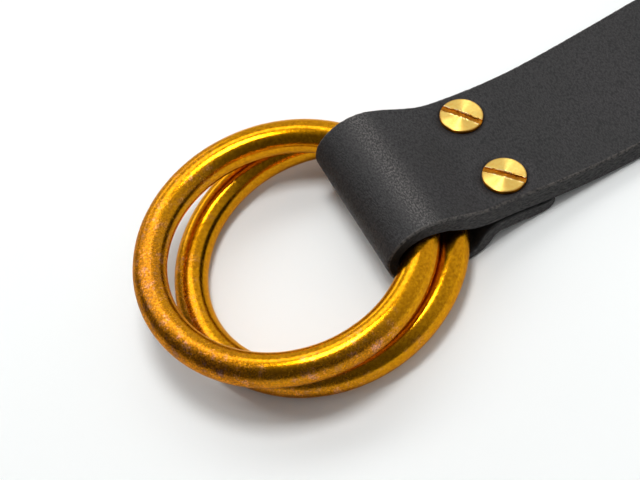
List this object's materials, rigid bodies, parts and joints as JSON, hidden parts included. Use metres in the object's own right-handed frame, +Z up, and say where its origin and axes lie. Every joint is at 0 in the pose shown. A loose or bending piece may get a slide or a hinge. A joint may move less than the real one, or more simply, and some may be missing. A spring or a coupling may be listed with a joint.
{
  "type": "ring belt",
  "caption": "Fastening end of a thick leather ring belt: a strap folded round a pair of loose round brass rings and held by slotted screws.",
  "frame": {"origin": "on the surface the belt lies on, under the middle of its length and width", "axes": "+X along the belt from the rings to the strap's cut end, +Y across the strap, +Z up"},
  "size_m": [0.15, 0.0656, 0.0201],
  "materials": {
    "leather": "smooth dyed full-grain top, satin, with raw dark cut edges",
    "ring_brass": "polished, with a heat-tinted uneven patina",
    "screw_brass": "turned, satin, worn at the slot"
  },
  "bodies": {
    "root": {"strap": "leather", "ring_upper": "ring_brass", "ring_lower": "ring_brass", "screw_far": "screw_brass", "screw_near": "screw_brass", "post_far": "screw_brass", "post_near": "screw_brass"}
  },
  "joints": []
}
